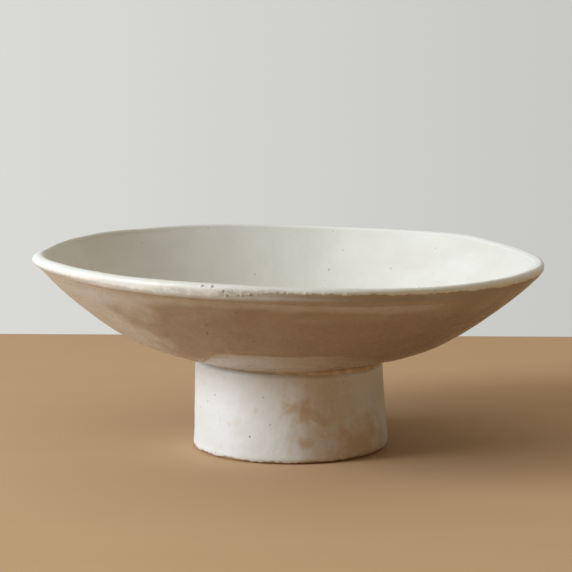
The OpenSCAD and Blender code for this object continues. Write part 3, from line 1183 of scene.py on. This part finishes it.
# Key light: azimuth to the left of the front and rise in degrees, distance and size in metres,
# power in watts and colour
KEY_TURN = 70.0
KEY_RISE = 26.3
KEY_DISTANCE = 2.2
KEY_SIZE = (0.8, 1.1)
KEY_POWER = 45.0
KEY_COLOUR = (0.87, 0.945, 1.0)

# Fill from above: strength at the zenith and at the horizon, the heights of a direction between
# which it changes, and its colour
FILL_ZENITH = 0.56
FILL_HORIZON = 0.06
FILL_FROM = 0.4
FILL_TO = 0.85
FILL_COLOUR = (1.0, 0.89, 0.68)

# Warm glow low on the right: colour, and between what x and z of a direction it comes and goes
GLOW = (0.34, 0.21, 0.08)
GLOW_SIDE = (0.3, 0.9)
GLOW_HEIGHT = (0.12, 0.3)

# Backdrop: colour, its share at the right of the frame, and the x of a direction at its sides
BACKDROP = (0.70, 0.70, 0.67)
BACKDROP_SHADE = 0.82
BACKDROP_HALF = 0.12


def make_floor():
    """Plain floor in the tone of the photograph's table, faintly clouded."""
    mesh = bpy.data.meshes.new("floor")
    skew = FLOOR_HALF * TABLE_SKEW
    corners = [(-FLOOR_HALF, FLOOR_NEAR, 0), (FLOOR_HALF, FLOOR_NEAR, 0),
               (FLOOR_HALF, TABLE_END - skew, 0), (-FLOOR_HALF, TABLE_END + skew, 0)]
    mesh.from_pydata(corners, [], [(0, 1, 2, 3)])
    m = Paint("floor")
    cloud = m.ramp(m.noise(60, 3, stretch=(0.2, 1, 1)), 0.3, 0.7)
    base = m.mix(cloud, tuple(c * FLOOR_DARK for c in FLOOR), FLOOR)
    m.put(FLOOR_SHINE, m.shader.inputs["Specular IOR Level"])
    mesh.materials.append(m.finish(base, m.noise(10, 2), 0.72, 0.8))
    floor = bpy.data.objects.new("floor", mesh)
    bpy.context.scene.collection.objects.link(floor)


def make_world():
    """Pale backdrop for camera and gloss, and an overhead fill with a low glow for the rest."""
    world = bpy.data.worlds.new("studio")
    bpy.context.scene.world = world
    world.use_nodes = True
    w = Nodes(world.node_tree, "Generated")
    split = w.add("ShaderNodeSeparateXYZ")
    w.put(w.place, split.inputs["Vector"])
    across, up = split.outputs["X"], split.outputs["Z"]
    fill = w.ramp(up, FILL_FROM, FILL_TO, FILL_HORIZON, FILL_ZENITH)
    glow = w.math("MULTIPLY", w.ramp(across, *GLOW_SIDE), w.ramp(up, *GLOW_HEIGHT[::-1]))
    light = w.vector("ADD", w.vector("SCALE", FILL_COLOUR, fill), w.vector("SCALE", GLOW, glow))
    shade = w.ramp(across, -BACKDROP_HALF, BACKDROP_HALF, 1.0, BACKDROP_SHADE, "LINEAR")
    path = w.add("ShaderNodeLightPath").outputs
    seen = w.math("MAXIMUM", path["Is Camera Ray"], path["Is Glossy Ray"])
    back = world.node_tree.nodes["Background"]
    w.put(w.mix(seen, light, w.vector("SCALE", BACKDROP, shade)), back.inputs["Color"])
    w.put(1.0, back.inputs["Strength"])


def make_key():
    """Soft key light from the left, aimed at the origin."""
    lamp = bpy.data.lights.new("key", "AREA")
    lamp.shape = "RECTANGLE"
    lamp.size, lamp.size_y = KEY_SIZE
    lamp.energy = KEY_POWER
    lamp.color = KEY_COLOUR
    a, e = math.radians(KEY_TURN), math.radians(KEY_RISE)
    towards = np.array([-math.sin(a) * math.cos(e), -math.cos(a) * math.cos(e), math.sin(e)])
    key = bpy.data.objects.new("key", lamp)
    bpy.context.scene.collection.objects.link(key)
    key.location = towards * KEY_DISTANCE
    key.rotation_mode = "QUATERNION"
    key.rotation_quaternion = key.location.to_track_quat("Z", "Y")


def make_camera():
    """Camera at the photograph's place, with its framing."""
    down, turn, roll = (math.radians(x) for x in (CAMERA_DOWN, CAMERA_TURN, CAMERA_ROLL))
    ahead = np.array([math.sin(turn) * math.cos(down), math.cos(turn) * math.cos(down),
                      -math.sin(down)])
    right = np.array([math.cos(turn), -math.sin(turn), 0])
    up = np.cross(right, ahead)
    side = math.cos(roll) * right + math.sin(roll) * up
    top = -math.sin(roll) * right + math.cos(roll) * up
    data = bpy.data.cameras.new("camera")
    data.sensor_width = SENSOR_MM
    data.lens = FOCAL_PX / FRAME_PX * SENSOR_MM
    camera = bpy.data.objects.new("camera", data)
    bpy.context.scene.collection.objects.link(camera)
    turned = Matrix(np.stack([side, top, -ahead], 1).tolist()).to_4x4()
    camera.matrix_world = Matrix.Translation([x * MM for x in CAMERA_AT]) @ turned
    bpy.context.scene.camera = camera


make_floor()
make_world()
make_key()
make_camera()
bpy.context.scene.view_settings.view_transform = "Standard"
